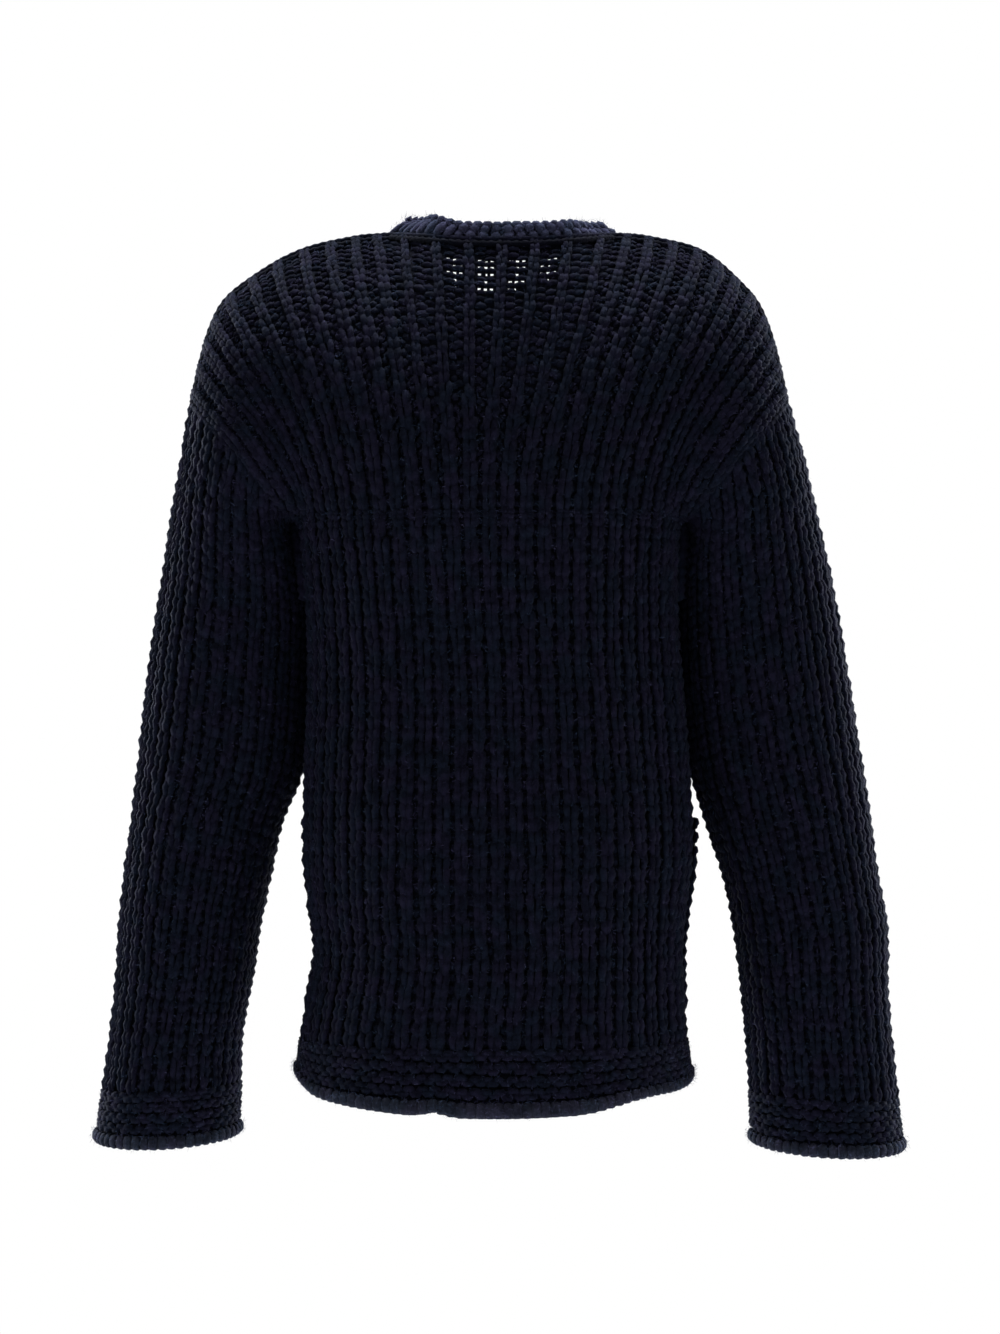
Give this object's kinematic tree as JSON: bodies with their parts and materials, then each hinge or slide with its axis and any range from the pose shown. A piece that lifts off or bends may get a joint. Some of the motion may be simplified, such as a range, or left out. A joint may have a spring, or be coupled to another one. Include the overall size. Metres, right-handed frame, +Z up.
{
  "type": "chunky knit cardigan",
  "caption": "Hollow worn-shape chunky rib-knit cardigan with long sleeves, a buttoned front, patch pockets and garter hem and cuffs.",
  "frame": {"origin": "between the shoulders, at the height where the knit rests on the wearer's shoulders", "axes": "+Z up; -Y out of the buttoned front and +Y out of the back; +X to the wearer's left"},
  "size_m": [0.6518, 0.2468, 0.7457],
  "materials": {
    "knit": "matte wool yarn in a deep rib knit, dark navy, with a soft fibre halo",
    "button": "dark polished horn-like resin, four holes"
  },
  "bodies": {
    "root": {"back": "knit", "front_left": "knit", "front_right": "knit", "sleeve_left": "knit", "sleeve_right": "knit", "hem_back": "knit", "hem_front_left": "knit", "hem_front_right": "knit", "cuff_left": "knit", "cuff_right": "knit", "neckband": "knit", "button_band": "knit", "buttonhole_band": "knit", "pocket_left": "knit", "pocket_right": "knit", "button_1": "button", "button_2": "button", "button_3": "button", "button_4": "button", "button_5": "button", "button_6": "button"}
  },
  "joints": []
}
